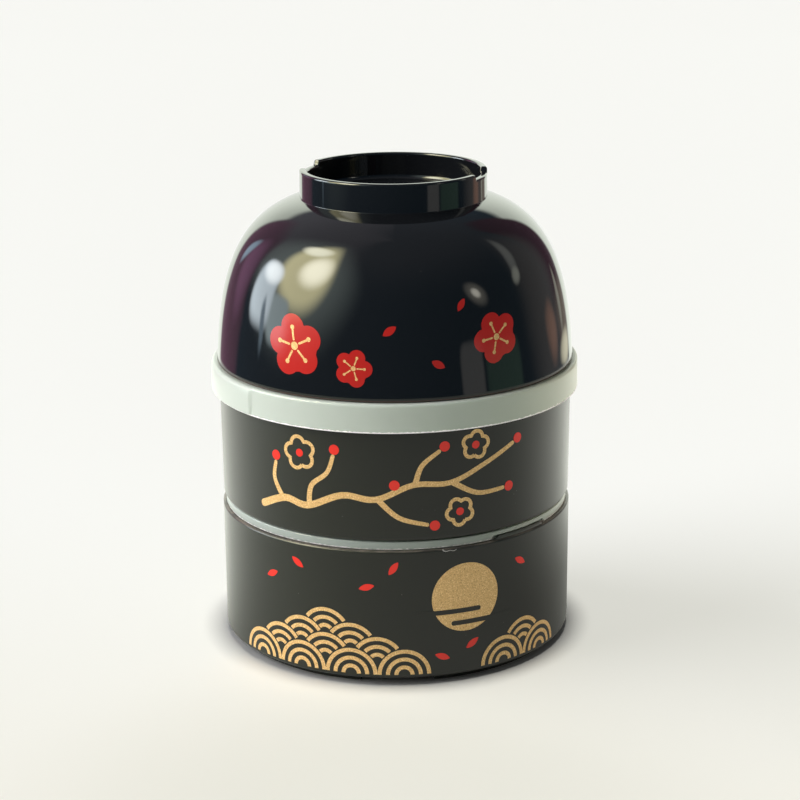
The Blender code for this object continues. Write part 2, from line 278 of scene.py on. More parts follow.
def turned(outline, seat, stops=()):
    """Spin an outline that stands at a seat height. Each stop is an azimuth that gets a ring."""
    mesh = bmesh.new()
    points = [mesh.verts.new((0.0, -r * MM, (seat + z) * MM)) for r, z in outline]
    lines = [mesh.edges.new(pair) for pair in zip(points, points[1:])]
    front = points + lines
    edges = [0.0, *sorted(stops), 360.0]
    for low, high in zip(edges, edges[1:]):
        if high - low > 1e-6:
            front = spun(mesh, front, high - low, max(1, math.ceil((high - low) / RING_STEP)))
    bmesh.ops.remove_doubles(mesh, verts=mesh.verts, dist=MERGE * MM)
    return mesh


print("a plain ring has", round(360 / RING_STEP), "steps")

# %% Where on a ring something begins and ends
def azimuth_of(point):
    """Degrees from the front, positive towards +X, from 0 to 360."""
    return math.degrees(math.atan2(point.x, -point.y)) % 360.0


def inside_sweep(azimuth, centre, sweep, ramp):
    """1 inside a sweep, 0 outside, and a soft step of some degrees at both ends."""
    away = abs((azimuth - centre + 180.0) % 360.0 - 180.0)
    share = min(1.0, max(0.0, (sweep / 2 - away) / ramp))
    return share * share * (3 - 2 * share)


def ramp_stops(centre, sweep, ramp, steps):
    """The rings that a soft step needs, at both ends of a sweep."""
    stops = []
    for step in range(steps + 1):
        stops.append((centre - sweep / 2 + ramp * step / steps) % 360.0)
        stops.append((centre + sweep / 2 - ramp * step / steps) % 360.0)
    return stops


print("rings at the ends of a sweep of 30 degrees:", ramp_stops(0.0, 30.0, 1.0, 1))

# %% [markdown]
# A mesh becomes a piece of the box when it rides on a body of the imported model, so that it moves
# with the joints. A main piece also stands in for the plain CAD node of its body, while ornament
# only rides. Its shading is smooth, but breaks at sharp edges, so that corners stay crisp.

# %% Turn a bmesh into a piece that rides on its body
SHARP = math.radians(38)


def thing_of(mesh, name, material):
    """An object made of a bmesh and one material."""
    data = bpy.data.meshes.new(name)
    mesh.to_mesh(data)
    mesh.free()
    data.materials.append(material)
    thing = bpy.data.objects.new(name, data)
    bpy.context.scene.collection.objects.link(thing)
    return thing


def finished(mesh, name, body, material, replaces=None):
    """A smooth piece of the box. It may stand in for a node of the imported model."""
    bmesh.ops.recalc_face_normals(mesh, faces=mesh.faces)
    piece = thing_of(mesh, name, material)
    piece.data.shade_smooth()
    piece.data.set_sharp_from_angle(angle=SHARP)
    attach(piece, body)
    if replaces:
        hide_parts(replaces)
    low, high = (Vector(c) for c in (piece.bound_box[0], piece.bound_box[6]))
    size = [round(v / MM, 1) for v in high - low]
    print(f"{name}: {size} mm, {len(piece.data.polygons)} faces")
    return piece


# %% [markdown]
# ## The five plastics
#
# The tiers have a soft-touch lacquer: black, matt and a little warm, with a faint grain and a
# soft shine. A mottled pale band along the rounded top of the lower tier's rim is a painted
# highlight, and the face of its key is painted lighter, as painted light on a face that sits in
# shade. It is written as a dark base with two sizes of mottling, a thin coat and these two painted
# bands. A picture of plastic could be wrapped on instead, but noise in the object's own
# coordinates has no seams and holds at any distance.

# %% Soft-touch black of the tiers
soft_black, f = new_finish("soft_touch_black")
cloud = f.noise(28.0, 3.0)
grain = f.noise(0.35, 2.0)
speck = f.noise(0.9, 1.0)
dust = f.between(speck, 0.80, 0.84)
tone = f.mix(cloud, colour(0.0080, 0.0092, 0.0062), colour(0.0115, 0.0128, 0.0092))
tone = f.mix(dust * 0.5, tone, colour(0.20, 0.20, 0.18))
height = f.along("Z")
# a mottled pale band along the lower rim's rounded top: a painted highlight
rim = f.band(height, 41.9, 42.1, 42.21, 42.25)
rim_painted_highlight = rim * (0.3 + 0.7 * f.between(f.noise(6.0, 2.0), 0.40, 0.60))
tone = f.mix(rim_painted_highlight * 0.5, tone, colour(0.20, 0.175, 0.14))
# the face of the lower tier's key, painted lighter: painted light on a face that sits in shade
# under the upper tier
key_painted_light = f.band(height, 42.3, 42.4, 43.3, 43.35)
tone = f.mix(key_painted_light * 0.9, tone, colour(0.055, 0.058, 0.049))
f.surface(
    Base_Color=tone,
    Roughness=0.39 + cloud * 0.08 + grain * 0.05,
    Specular_IOR_Level=0.35,
    Coat_Weight=0.45,
    Coat_Roughness=0.19,
    Sheen_Weight=0.08,
    Sheen_Roughness=0.35,
    Sheen_Tint=colour(0.90, 1.0, 0.86),
    Normal=f.bump(grain + cloud * 0.3, 0.25, 0.02))

# %% [markdown]
# The lids are soft milky polyethylene. Light goes a little way into them, so they get some
# subsurface scattering. The upper one is whiter, as its band stands clear of the black tier; the
# lower one, the same plastic, is given a darker grey as painted shade, for its flange sits
# recessed over the black tier. Along the lower edge of each, a ragged near-white band is a painted
# highlight: the light that a thin moulding flash catches there. A ragged height marks that edge,
# and the distance from the axis keeps the white off the panel inside.

# %% Milky plastic of the two lids
def milky(name, deep, pale, edge_low, edge_high):
    material, f = new_finish(name)
    cloud = f.noise(22.0, 3.0)
    fine = f.noise(0.6, 2.0)
    fleck = f.noise(1.1, 3.0, stretch=(1.0, 1.0, 2.0))
    ragged = f.along("Z") + (fleck - 0.5) * (0.9 * MM)
    across, ahead = f.along("X"), f.along("Y")
    outside = f.between(length_of(across, ahead), 52.0 * MM, 52.5 * MM)
    # a ragged near-white band along the lower edge: a painted highlight of a thin flash
    edge_highlight = outside * (1 - f.between(ragged, edge_low * MM, edge_high * MM))
    tone = f.mix(cloud, deep, pale)
    tone = f.mix(edge_highlight, tone, colour(0.95, 0.96, 0.93))
    f.surface(
        Base_Color=tone,
        Roughness=0.30 + cloud * 0.10 + edge_highlight * 0.25,
        Subsurface_Weight=0.85,
        Subsurface_Radius=(0.95, 1.0, 0.9),
        Subsurface_Scale=0.0022,
        Normal=f.bump(fine + cloud, 0.15, 0.02))
    return material


milky_white = milky(
    "milky_white_lid", colour(0.44, 0.505, 0.44), colour(0.49, 0.555, 0.49), 79.2, 79.35)
# the lower lid: the same plastic in a darker grey, a shaded copy with painted shade
shaded_milky = milky(
    "milky_grey_lid", colour(0.275, 0.325, 0.29), colour(0.325, 0.375, 0.34), 42.5, 42.9)

# %% [markdown]
# The bowl is lacquered to a high gloss. What makes gloss look real is not the black but what
# breaks it: fine wiping marks that change its roughness, and a very slight waviness that bends
# the reflections of the windows. At the lip the lacquer ends, and a thin brown edge shows. Just
# above it a band is made rougher and painted greenish grey, a painted reflection of the pale
# ledge below. The divider is out of sight, so its black is plain, with a faint moulded grain.

# %% Gloss black of the bowl, and the plainer black of the divider
gloss_black, f = new_finish("gloss_black")
wave = f.noise(16.0, 1.0)
wipe = f.noise(6.0, 4.0, stretch=(1.0, 1.0, 0.25))
speck = f.noise(0.55, 1.0)
dust = f.between(speck, 0.83, 0.86)
tone = f.mix(dust * 0.6, colour(0.0058, 0.0068, 0.0077), colour(0.16, 0.16, 0.15))
height = f.along("Z")
# the lowest millimetre of the bowl is made rougher and painted greenish grey: a painted reflection
# of the pale ledge below
dull_lip_and_reflection = 1 - f.between(height, 88.7 * MM, 88.95 * MM)
bare = 1 - f.between(height, 88.05 * MM, 88.35 * MM)
tone = f.mix(dull_lip_and_reflection, tone, colour(0.020, 0.022, 0.018))
tone = f.mix(bare, tone, colour(0.042, 0.027, 0.021))
f.surface(
    Base_Color=tone,
    Roughness=0.05 + f.between(wipe, 0.45, 0.75) * 0.05 + dust * 0.4 + dull_lip_and_reflection * 0.18,
    Normal=f.bump(wave, 0.30, 0.05))

plain_black, f = new_finish("plain_black")
cloud = f.noise(12.0, 3.0)
grain = f.noise(0.4, 2.0)
f.surface(
    Base_Color=f.mix(cloud, colour(0.018, 0.019, 0.018), colour(0.026, 0.027, 0.026)),
    Roughness=0.32 + cloud * 0.10,
    Normal=f.bump(grain, 0.2, 0.02))

# %% [markdown]
# The ornament is screen printed. Gold ink is not metal: it is lacquer full of tiny flakes, some
# bright and some brown, so it looks sandy from near and golden from afar. Red ink is plain and
# glossy, with a slightly uneven film. On the bowl the film is thin and the black below shows
# through it, so the red is deeper there.

# %% Gold ink and red ink
gold_ink, f = new_finish("gold_ink")
flake = f.noise(0.36, 3.0)
film = f.noise(3.0, 3.0)
bright = f.between(flake, 0.50, 0.66)
dark = 1 - f.between(flake, 0.30, 0.42)
tone = f.mix(film, colour(0.64, 0.40, 0.14), colour(0.72, 0.46, 0.17))
tone = f.mix(bright * 0.8, tone, colour(0.95, 0.70, 0.34))
tone = f.mix(dark * 0.75, tone, colour(0.32, 0.17, 0.045))
f.surface(
    Base_Color=tone,
    Roughness=0.50 - bright * 0.15,
    Metallic=0.15 + bright * 0.25,
    Coat_Weight=0.5,
    Coat_Roughness=0.22,
    Normal=f.bump(flake, 0.35, 0.02))

red_ink, f = new_finish("red_ink")
film = f.noise(4.0, 3.0)
tone = f.mix(film, colour(0.68, 0.020, 0.011), colour(0.76, 0.030, 0.017))
on_bowl = f.between(f.along("Z"), 87.0 * MM, 88.0 * MM)
f.surface(
    Base_Color=f.mix(on_bowl, tone, colour(0.43, 0.016, 0.011)),
    Roughness=0.14 + film * 0.08,
    Normal=f.bump(film, 0.15, 0.03))
print("plastics and inks:", len(bpy.data.materials))

# %% [markdown]
# ## The two tiers
#
# A tier is a cup with a slight draft, a rounded rim and a foot ring that is open at the front and
# at the back so that water drains. The cup is one turned drawing. The openings in the foot could
# be cut by a boolean, but lifting the ring's underside between two close rings of vertices keeps
# the faces even. The key on the lower rim is raised in the same way.

# %% Draw a tier
# heights from the tier's underside, radii from the axis
FOOT = 2.0
FLOOR = 4.0
RIM_ROUND = 0.6
KEY_EDGE = 1.06
FOOT_OUTER = 51.2
FOOT_INNER = 48.8
WALL = 1.7


def tier_outline(height, rim, draft):
    low = rim - draft
    rim_inner = rim - WALL
    floor_inner = low - WALL
    outline = [(0.0, FOOT + 0.25), (1.7, FOOT + 0.25), (2.0, FOOT), (FOOT_INNER - 0.5, FOOT)]
    outline += arc((FOOT_INNER - 0.5, FOOT - 0.5), 0.5, 90, 0)[1:]
    outline += arc((FOOT_INNER + 0.3, 0.3), 0.3, 180, 270, 4)
    outline += arc((FOOT_OUTER - 0.3, 0.3), 0.3, 270, 360, 4)
    outline += arc((FOOT_OUTER + 0.2, FOOT - 0.2), 0.2, 180, 90, 3)
    outline += arc((low - 1.1, FOOT + 1.1), 1.1, -90, 0, 10)
    outline += arc((rim - RIM_ROUND, height - RIM_ROUND), RIM_ROUND, 0, 90, 10)
    outline += [(rim_inner + s, height) for s in (KEY_EDGE, KEY_EDGE - 0.13, 0.35)]
    outline += arc((rim_inner + 0.2, height - 0.2), 0.2, 90, 180, 4)
    outline += arc((floor_inner - 3.0, FLOOR + 3.0), 3.0, 0, -90, 12)
    outline += [(20.0, FLOOR), (0.0, FLOOR)]
    return supported(outline)


# %% Cut the foot's openings and raise the key on the lower rim
# sweep and ramp in degrees, and rise; the key has the azimuth of its middle before them
OPENING = (25.0, 0.1, 1.6)
KEY = (44.3, 23.6, 2.6, 1.1)


def open_foot(mesh, seat):
    sweep, ramp, rise = OPENING
    for v in mesh.verts:
        low = v.co.z / MM - seat
        if low < 0.5 and FOOT_INNER - 0.01 < v.co.xy.length / MM < FOOT_OUTER + 0.01:
            share = max(inside_sweep(azimuth_of(v.co), side, sweep, ramp) for side in (0.0, 180.0))
            v.co.z += share * rise * MM


def raise_key(mesh, height, rim_inner):
    centre, sweep, ramp, rise = KEY
    for v in mesh.verts:
        across = v.co.xy.length / MM - rim_inner
        if v.co.z / MM > height - 0.01 and across < KEY_EDGE + 0.02:
            edge = min(1.0, 0.75 + 2 * min(across - 0.2, KEY_EDGE - across))
            v.co.z += inside_sweep(azimuth_of(v.co), centre, sweep, ramp) * rise * edge * MM


foot_stops = ramp_stops(0.0, *OPENING[:2], 1) + ramp_stops(180.0, *OPENING[:2], 1)
key_stops = ramp_stops(*KEY[:3], 6)
print("rings for the foot's openings and the key:", len(foot_stops), len(key_stops))

# %% Turn the lower tier and the upper tier
LOWER_HEIGHT, LOWER_RIM, LOWER_DRAFT = 42.2, 54.3, 0.1
UPPER_HEIGHT, UPPER_RIM, UPPER_DRAFT = 42.5, 54.4, 0.4
GAP = 0.3
LID_FLOOR = 0.4
LOWER_LID_SEAT = LOWER_HEIGHT + GAP
UPPER_SEAT = LOWER_LID_SEAT + LID_FLOOR + GAP

lower = turned(tier_outline(LOWER_HEIGHT, LOWER_RIM, LOWER_DRAFT), 0.0, foot_stops + key_stops)
open_foot(lower, 0.0)
raise_key(lower, LOWER_HEIGHT, LOWER_RIM - WALL)
finished(lower, "lower_tier", "lower_container", soft_black, "lower_container")

upper = turned(tier_outline(UPPER_HEIGHT, UPPER_RIM, UPPER_DRAFT), UPPER_SEAT, foot_stops)
open_foot(upper, UPPER_SEAT)
finished(upper, "upper_tier", "upper_container", soft_black, "upper_container")

# %% [markdown]
# ## The lid between the tiers
#
# Only its pale flange shows, as a seam. The plug below it closes the lower tier, and the recess
# above it takes the foot of the upper tier, which stands on the lid's floor. Where the key stands
# up from the rim, the flange has a relief on its underside, a little wider than the key. Both
# lids have the same kind of plug, so its drawing is a function of its own.

# %% Draw and turn the lower lid
PLUG_WALL = 1.5
RELIEF_MORE, RELIEF_RAMP = 2.0, 1.0


def plug_outline(plug, underside, depth):
    """A lid's plug, from the panel's underside down and out to its outer face."""
    hollow = plug - PLUG_WALL
    outline = arc((hollow - 0.3, -underside - 0.3), 0.3, 90, 0, 3)
    outline += arc((hollow + 0.35, 0.35 - depth), 0.35, 180, 270, 4)
    outline += [(plug - 0.6, -depth)]
    return outline + arc((plug - 0.5, 0.5 - depth), 0.5, -80, 0, 5) + [(plug, 0.0)]


def lower_lid_outline():
    plug = LOWER_RIM - WALL - GAP
    flange = LOWER_RIM - 1.0
    recess = FOOT_OUTER + GAP
    outline = [(0.0, -1.35), (1.2, -1.35), (1.4, -1.5), (38.0, -1.5), (38.6, -0.9)]
    outline += plug_outline(plug, 0.9, 4.2)
    outline += [(plug + 0.2, 0.0), (flange - 0.2, 0.0)]
    outline += arc((flange - 0.15, 0.15), 0.15, -60, 0, 3)
    outline += arc((flange - 0.35, 2.05), 0.35, 0, 90, 6)
    outline += arc((recess + 0.2, 2.2), 0.2, 90, 180, 4)
    outline += [(recess, LID_FLOOR), (38.6, LID_FLOOR)]
    outline += [(38.0, -0.2), (1.4, -0.2), (1.2, -0.1), (0.0, -0.1)]
    return supported(outline)


relief = KEY[0], KEY[1] + RELIEF_MORE, RELIEF_RAMP
lid = turned(lower_lid_outline(), LOWER_LID_SEAT, ramp_stops(*relief, 4))
for v in lid.verts:
    out = v.co.xy.length / MM
    if out > LOWER_RIM - WALL - 0.15 and v.co.z / MM < LOWER_LID_SEAT + 0.16:
        v.co.z += KEY[3] * MM * inside_sweep(azimuth_of(v.co), *relief)
finished(lid, "lower_lid_piece", "lower_lid", shaded_milky, "lower_lid")

# %% [markdown]
# ## The lid on top
#
# This lid snaps over the rim of the upper tier: a channel holds the rim between the band outside
# and the plug inside. The ledge carries the bowl, and a low ridge on it centres the bowl's rim.
# On the left the band stands a little proud over a fifth of its length, for the thumb.

# %% Draw the upper lid
UPPER_LID_SEAT = UPPER_SEAT + UPPER_HEIGHT + GAP
BAND = 56.5
BAND_DEPTH = 7.1
LEDGE = 1.5
PLUG_DEPTH = 4.4
UNDERSIDE = 2.0
LIP_PROUD = 0.12


def upper_lid_outline():
    plug = UPPER_RIM - WALL - GAP
    channel = UPPER_RIM + GAP
    ridge = 52.0
    outline = [(0.0, -1.15), (1.2, -1.15), (1.4, -1.3), (36.0, -1.3), (36.7, -UNDERSIDE)]
    outline += plug_outline(plug, UNDERSIDE, PLUG_DEPTH)
    outline += [(channel, 0.0)]
    outline += arc((channel + 0.2, -BAND_DEPTH + 0.2), 0.2, 180, 270, 3)
    outline += arc((BAND - 0.2, -BAND_DEPTH + 0.2), 0.2, 270, 360, 6)
    outline += [(BAND, -BAND_DEPTH + 0.26), (BAND - LIP_PROUD, -BAND_DEPTH + 0.36)]
    outline += [(BAND - LIP_PROUD, -4.0), (BAND - LIP_PROUD, -1.0)]
    outline += arc((BAND - LIP_PROUD - 0.8, LEDGE - 0.8), 0.8, 0, 90, 12)
    outline += arc((ridge + 0.2, LEDGE + 0.2), 0.2, 270, 180, 3)
    outline += arc((ridge - 0.65, 2.05), 0.65, 0, 180, 12)
    outline += arc((ridge - 1.5, -0.4), 0.2, 0, -90, 3)
    outline += [(36.7, -0.6), (36.0, 0.1), (1.4, 0.1), (1.2, 0.2), (0.0, 0.2)]
    return supported(outline)


print("points of the upper lid's outline:", len(upper_lid_outline()))

# %% Turn the upper lid, and push the thumb land out
# azimuth of the middle, sweep and ramp in degrees, and how far it stands out
LAND = (-86.0, 76.0, 2.0, 0.36)

cover = turned(upper_lid_outline(), UPPER_LID_SEAT, ramp_stops(*LAND[:3], 6))
for v in cover.verts:
    out = v.co.xy.length / MM
    rise = v.co.z / MM - UPPER_LID_SEAT
    if out > BAND - 1.0 and 0.3 - BAND_DEPTH < rise < LEDGE - 0.05:
        fade = min(1.0, (LEDGE - 0.05 - rise) / 1.5)
        proud = (LAND[3] + LIP_PROUD) * fade * inside_sweep(azimuth_of(v.co), *LAND[:3])
        v.co.xy *= (out + proud) / out
finished(cover, "upper_lid_piece", "upper_lid", milky_white, "upper_lid")

# %% [markdown]
# ## The divider
#
# Boxes of this kind have a loose plate across the upper tier. Its ends are flanges that follow
# the round wall and keep it upright. The plate is a drawn outline that is pushed through its
# thickness and bevelled. Each flange is a small rectangle spun about the box's axis.

# %% Make the divider
DIVIDER_SEAT = UPPER_SEAT + FLOOR + GAP
PLATE = 1.2
HEADROOM = 0.6
FLANGE_FOOT = 3.6
FLANGE_SWEEP = 26.0
FLANGE_STEPS = 20


def divider_mesh():
    slope = UPPER_DRAFT / (UPPER_HEIGHT - FOOT)
    wall = UPPER_RIM - UPPER_DRAFT - WALL + slope * (FLOOR - FOOT) - GAP
    half = wall - PLATE / 2
    half_top = UPPER_RIM - WALL - GAP - PLUG_WALL - GAP
    lid = UPPER_LID_SEAT - DIVIDER_SEAT
    flange_top = lid - PLUG_DEPTH - HEADROOM
    top = lid - UNDERSIDE - HEADROOM
    side = arc((half - 3.3, 3.3), 3.3, -90, 0, 10)
    side += [(half, flange_top), (half_top, flange_top)]
    side += arc((half_top - 0.8, top - 0.8), 0.8, 0, 90, 4)
    points = side + [(-x, z) for x, z in reversed(side)]
    mesh = bmesh.new()
    front = mesh.faces.new(
        [mesh.verts.new((x * MM, -PLATE / 2 * MM, (DIVIDER_SEAT + z) * MM)) for x, z in points])
    grown = bmesh.ops.extrude_face_region(mesh, geom=[front])["geom"]
    back = [item for item in grown if isinstance(item, bmesh.types.BMVert)]
    bmesh.ops.translate(mesh, verts=back, vec=(0.0, PLATE * MM, 0.0))
    rims = [e for e in mesh.edges if abs(e.verts[0].co.y - e.verts[1].co.y) < 1e-6]
    bmesh.ops.bevel(
        mesh, geom=rims, offset=0.3 * MM, offset_type="OFFSET", affect="EDGES", segments=3,
        profile=0.5, material=-1)
    for side_sign in (1.0, -1.0):
        low, high = FLANGE_FOOT, flange_top - 0.3
        corners = [(wall - PLATE, low), (wall, low), (wall, high), (wall - PLATE, high)]
        ring = [mesh.verts.new((side_sign * r * MM, 0.0, (DIVIDER_SEAT + z) * MM))
                for r, z in corners]
        start = mesh.faces.new(ring)
        bmesh.ops.rotate(
            mesh, verts=ring, cent=(0, 0, 0),
            matrix=Matrix.Rotation(math.radians(-FLANGE_SWEEP / 2), 3, "Z"))
        spun(mesh, [start], FLANGE_SWEEP, FLANGE_STEPS)
    return mesh


finished(divider_mesh(), "divider_piece", "divider", plain_black, "divider")

# %% [markdown]
# ## The bowl
#
# A bowl turned over: a rim with a crisp outer edge, one long curve from the side over the
# shoulder, and a tall foot ring with two shallow notches, so that no water stays in it.
# The curve is a cubic, fitted to the outline in the photograph, and the inner face is the same
# curve moved in by the wall's thickness.

# %% The bowl's curve
BOWL_SEAT = UPPER_LID_SEAT + LEDGE + 0.1
RIM = 54.8
BOWL_WALL = 2.5
LIP = BOWL_WALL / 2
LIP_EDGE = 0.35
SHOULDER = 49.6
RING = 28.5
CURVE = ((RIM, LIP), (RIM - 1.3, LIP + 24.3), (RING + 20.1, SHOULDER - 5.3), (RING, SHOULDER))


def bowl_point(t, inset=0.0):
    """A point of the bowl's side at a share t of the curve, and the way out of the wall there."""
    u = 1 - t
    r, z = (u**3 * a + 3 * u * u * t * b + 3 * u * t * t * c + t**3 * d
            for a, b, c, d in zip(*CURVE))
    dr, dz = (u * u * (b - a) + 2 * u * t * (c - b) + t * t * (d - c)
              for a, b, c, d in zip(*CURVE))
    length = math.hypot(dr, dz)
    out = (dz / length, -dr / length)
    return (r - inset * out[0], z - inset * out[1]), out


print("half way up, the bowl's radius is", round(bowl_point(0.5)[0][0], 1), "mm")

# %% Draw and turn the bowl
CURVE_STEPS = 52
RECESS = SHOULDER + 0.2
RING_TOP = SHOULDER + 8.6
RING_WALL = 2.1
# sweep and ramp in degrees, and depth
NOTCH = (31.0, 1.6, 1.5)
NOTCH_AZIMUTHS = (74.5, -105.5)


def bowl_outline():
    inner = [bowl_point(step / CURVE_STEPS, BOWL_WALL)[0] for step in range(CURVE_STEPS + 1)]
    outer = [bowl_point(step / CURVE_STEPS)[0] for step in range(CURVE_STEPS + 1)]
    edge_r, edge_z = inner[-1]
    outline = [(edge_r * s / 12, edge_z + 0.2 - 0.2 * (s / 12) ** 2) for s in range(12)]
    outline += reversed(inner)
    outline += arc((RIM - BOWL_WALL + 1.0, 1.0), 1.0, 180, 270, 10)[1:]
    outline += arc((RIM - LIP_EDGE + 0.02, LIP_EDGE), LIP_EDGE, 270, 357, 10)
    outline += outer[:-1]
    outline += arc((RING + 0.2, SHOULDER + 0.15), 0.2, 255, 180, 5)
    top = RING - 0.1
    inside = top - RING_WALL
    outline += arc((top - 0.7, RING_TOP - 0.7), 0.7, 0, 90, 8)
    outline += arc((inside + 0.7, RING_TOP - 0.7), 0.7, 90, 180, 8)
    outline += arc((inside - 1.6, RECESS + 1.6), 1.6, 0, -90, 10)
    outline += [(1.4, RECESS), (1.2, RECESS - 0.1), (0.0, RECESS - 0.1)]
    return supported(outline)


notch_stops = [stop for side in NOTCH_AZIMUTHS for stop in ramp_stops(side, *NOTCH[:2], 8)]
bowl = turned(bowl_outline(), BOWL_SEAT, notch_stops)
for v in bowl.verts:
    if v.co.z / MM - BOWL_SEAT > RING_TOP - 0.9:
        cut = max(inside_sweep(azimuth_of(v.co), side, *NOTCH[:2]) for side in NOTCH_AZIMUTHS)
        v.co.z -= cut * NOTCH[2] * MM
finished(bowl, "bowl_piece", "bowl", gloss_black, "bowl")

# %% [markdown]
# ## Printing on a round wall
#
# Ink could be painted in the material, but then its edges blur when the model is exported. Here
# each motif is a real film, cut flat from an outline, sliced so that it can bend, given a
# thickness of a few hundredths of a millimetre, and then laid on the wall. The wall is a function:
# it takes a distance up the side and gives the radius, the height and the way out.

# %% The walls that take ink
INK = 0.045
SINK = 0.015
NEXT_LAYER = 0.008
CELL = 1.2


def tier_wall(seat, height, rim, draft):
    shoulder = seat + height - RIM_ROUND

    def wall(z):
        share = (z - seat - FOOT) / (height - FOOT)
        slope = draft / (height - FOOT)
        if z < shoulder:
            return rim - draft * (1 - share), z, (1.0, -slope)
        turn = (z - shoulder) / RIM_ROUND
        out, up = math.cos(turn), math.sin(turn)
        return rim - RIM_ROUND * (1 - out), shoulder + RIM_ROUND * up, (out, up)
    return wall


def bowl_wall():
    """The bowl's side by the length walked up it from the rim."""
    walk = [(0.0, 0.0)]
    steps = 400
    last = bowl_point(0.0)[0]
    for step in range(1, steps + 1):
        point = bowl_point(step / steps)[0]
        walk.append((walk[-1][0] + math.dist(last, point), step / steps))
        last = point

    def wall(length):
        for (l0, t0), (l1, t1) in zip(walk, walk[1:]):
            if l1 >= length:
                t = t0 + (t1 - t0) * (length - l0) / (l1 - l0)
                (r, z), out = bowl_point(t)
                return r, BOWL_SEAT + z, out
    return wall


# each wall goes with the body that it belongs to
bowl_side = bowl_wall(), "bowl"
upper_side = tier_wall(UPPER_SEAT, UPPER_HEIGHT, UPPER_RIM, UPPER_DRAFT), "upper_container"
lower_side = tier_wall(0.0, LOWER_HEIGHT, LOWER_RIM, LOWER_DRAFT), "lower_container"
print("radius of the bowl 20 mm up its side:", round(bowl_side[0](20.0)[0], 1), "mm")

# %% Lay flat outlines on a wall
def printed(name, outlines, side, material, layer=0):
    """Each outline is a list of (across, up) points in millimetres, counted from the front."""
    wall, body = side
    mesh = bmesh.new()
    for outline in outlines:
        mesh.faces.new([mesh.verts.new((u, v, 0.0)) for u, v in outline])
    bmesh.ops.triangulate(mesh, faces=mesh.faces[:])
    for axis in (0, 1):
        low = min(v.co[axis] for v in mesh.verts)
        high = max(v.co[axis] for v in mesh.verts)
        for slice_number in range(math.ceil(low / CELL), math.floor(high / CELL) + 1):
            centre, normal = Vector(), Vector()
            centre[axis] = slice_number * CELL
            normal[axis] = 1.0
            bmesh.ops.bisect_plane(
                mesh, geom=mesh.verts[:] + mesh.edges[:] + mesh.faces[:], dist=0.0001,
                plane_co=centre, plane_no=normal)
    grown = bmesh.ops.extrude_face_region(mesh, geom=mesh.faces[:])["geom"]
    top = [item for item in grown if isinstance(item, bmesh.types.BMVert)]
    bmesh.ops.translate(mesh, verts=top, vec=(0.0, 0.0, 1.0))
    for v in mesh.verts:
        r, z, out = wall(v.co.y)
        lift = INK + NEXT_LAYER * layer if v.co.z > 0.5 else -SINK
        turn = v.co.x / r
        far = r + lift * out[0]
        v.co = Vector((far * math.sin(turn), -far * math.cos(turn), z + lift * out[1])) * MM
    return finished(mesh, name, body, material)


# %% [markdown]
# ## The ornament
#
# The box carries a quiet seasonal pattern of old and common motifs: plum blossom on the bowl, a
# plum branch round the upper tier, and a moon over rising waves on the lower one, with loose
# petals between. Strokes are 1 to 2 mm wide, most of them with round ends as a brush leaves
# them. They could be curves with a bevel, but then they would be round wires. So a soft line is
# drawn through a few points, and the outline of the stroke is worked out on both sides of it.

# %% Soft lines, and strokes along them
def smooth(points, steps=6):
    """A soft line through some points."""
    ends = [points[0], *points, points[-1]]
    line = []
    for a, b, c, d in zip(ends, ends[1:], ends[2:], ends[3:]):
        for step in range(steps):
            t = step / steps
            line.append(tuple(
                0.5 * (2 * q + (r - p) * t + (2 * p - 5 * q + 4 * r - s) * t * t
                       + (3 * q - p - 3 * r + s) * t**3)
                for p, q, r, s in zip(a, b, c, d)))
    return line + [points[-1]]


def stroke(line, start_width, end_width=None, round_ends=True):
    """The outline of a line of a given width, whose ends are round or cut straight."""
    end_width = end_width or start_width
    lengths = [0.0]
    for a, b in zip(line, line[1:]):
        lengths.append(lengths[-1] + math.dist(a, b))
    whole = lengths[-1]
    left, other = [], []
    for i, (u, v) in enumerate(line):
        a, b = line[max(0, i - 1)], line[min(len(line) - 1, i + 1)]
        along = math.dist(a, b)
        nu, nv = -(b[1] - a[1]) / along, (b[0] - a[0]) / along
        half = (start_width + (end_width - start_width) * lengths[i] / whole) / 2
        left.append((u + nu * half, v + nv * half))
        other.append((u - nu * half, v - nv * half))

    def cap(centre, before, half):
        start = math.atan2(before[1] - centre[1], before[0] - centre[0])
        return [
            (centre[0] + half * math.cos(start - math.pi * s / 8),
             centre[1] + half * math.sin(start - math.pi * s / 8)) for s in range(1, 8)]

    if not round_ends:
        return left + other[::-1]
    end, start = cap(line[-1], left[-1], end_width / 2), cap(line[0], other[0], start_width / 2)
    return left + end + other[::-1] + start


print("a short stroke has", len(stroke([(0.0, 0.0), (9.0, 0.0)], 1.8)), "points")

# %% Discs, blossoms and petals
def moved(points, centre, turn=0.0):
    c, s = math.cos(math.radians(turn)), math.sin(math.radians(turn))
    return [(centre[0] + u * c - v * s, centre[1] + u * s + v * c) for u, v in points]


def disc(radius, steps=48):
    return [(radius * math.cos(math.tau * s / steps), radius * math.sin(math.tau * s / steps))
            for s in range(steps)]


def blossom(radius, steps=70):
    """Five round petals: the outline of five discs set in a ring."""
    lobe, offset = 0.44 * radius, 0.56 * radius
    outline = []
    for s in range(steps):
        turn = math.tau * s / steps
        away = (turn + math.radians(36)) % math.radians(72) - math.radians(36)
        reach = offset * math.cos(away) + math.sqrt(lobe**2 - (offset * math.sin(away)) ** 2)
        outline.append((-reach * math.sin(turn), reach * math.cos(turn)))
    return outline


def petal(length, width, steps=14):
    side = [(length * (s / steps - 0.5), width / 2 * math.sin(math.pi * s / steps) ** 0.8)
            for s in range(steps + 1)]
    return side + [(u, -v) for u, v in reversed(side[1:-1])]


print("a blossom outline has", len(blossom(9.0)), "points")

